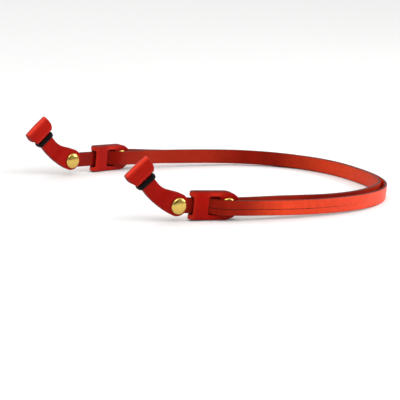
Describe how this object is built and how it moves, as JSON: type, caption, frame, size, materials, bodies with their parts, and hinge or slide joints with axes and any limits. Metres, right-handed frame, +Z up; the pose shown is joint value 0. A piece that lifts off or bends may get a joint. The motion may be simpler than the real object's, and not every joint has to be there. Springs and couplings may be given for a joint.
{
  "type": "eyeglass retainer strap",
  "caption": "Leather eyeglass retainer strap with folded temple tabs, rubber cinch rings, brass rivets and sliding keepers that set its length.",
  "frame": {"origin": "on the surface the strap stands on, under the middle of its outline", "axes": "+X toward the back of the wearer's head, +Y to the wearer's right, +Z up"},
  "size_m": [0.211, 0.1554, 0.0378],
  "materials": {
    "strap_leather": "smooth waxed, dyed edges",
    "keeper_leather": "smooth waxed, dyed edges",
    "tab_leather": "smooth waxed, dyed edges",
    "rivet_brass": "polished",
    "ring_rubber": "matte"
  },
  "bodies": {
    "straps": {"left_strap": "strap_leather", "right_strap": "strap_leather", "left_tab_rivet_cap": "rivet_brass", "left_tab_rivet_post": "rivet_brass", "right_tab_rivet_cap": "rivet_brass", "right_tab_rivet_post": "rivet_brass"},
    "left_tab": {"left_temple_tab": "tab_leather"},
    "right_tab": {"right_temple_tab": "tab_leather"},
    "left_ring": {"left_cinch_ring": "ring_rubber"},
    "right_ring": {"right_cinch_ring": "ring_rubber"},
    "left_keeper": {"left_keeper": "keeper_leather", "left_keeper_rivet_cap": "rivet_brass", "left_keeper_rivet_post": "rivet_brass"},
    "right_keeper": {"right_keeper": "keeper_leather", "right_keeper_rivet_cap": "rivet_brass", "right_keeper_rivet_post": "rivet_brass"}
  },
  "joints": [
    {"name": "left_tab_swivel", "type": "hinge", "parent": "straps", "child": "left_tab", "pos_m": [-0.07193, -0.06264, 0.00904], "axis": [0.0697, 0.9976, -0.0018], "range_deg": [-110, 50]},
    {"name": "right_tab_swivel", "type": "hinge", "parent": "straps", "child": "right_tab", "pos_m": [-0.07173, 0.06536, 0.00904], "axis": [-0.1132, 0.9936, 0.0028], "range_deg": [-110, 50]},
    {"name": "left_ring_slide", "type": "slide", "parent": "left_tab", "child": "left_ring", "axis": [0.6617, -0.0476, -0.7482], "range_m": [0, 0.0045]},
    {"name": "right_ring_slide", "type": "slide", "parent": "right_tab", "child": "right_ring", "axis": [0.659, 0.0772, -0.7482], "range_m": [0, 0.0045]},
    {"name": "left_keeper_slide", "type": "slide", "parent": "straps", "child": "left_keeper", "axis": [0.99, -0.1392, -0.0249], "range_m": [0, 0.03], "deforming": ["left_strap", "right_strap"]},
    {"name": "right_keeper_slide", "type": "slide", "parent": "straps", "child": "right_keeper", "axis": [0.976, 0.2164, -0.0245], "range_m": [-0.008, 0.022], "deforming": ["left_strap", "right_strap"]}
  ]
}
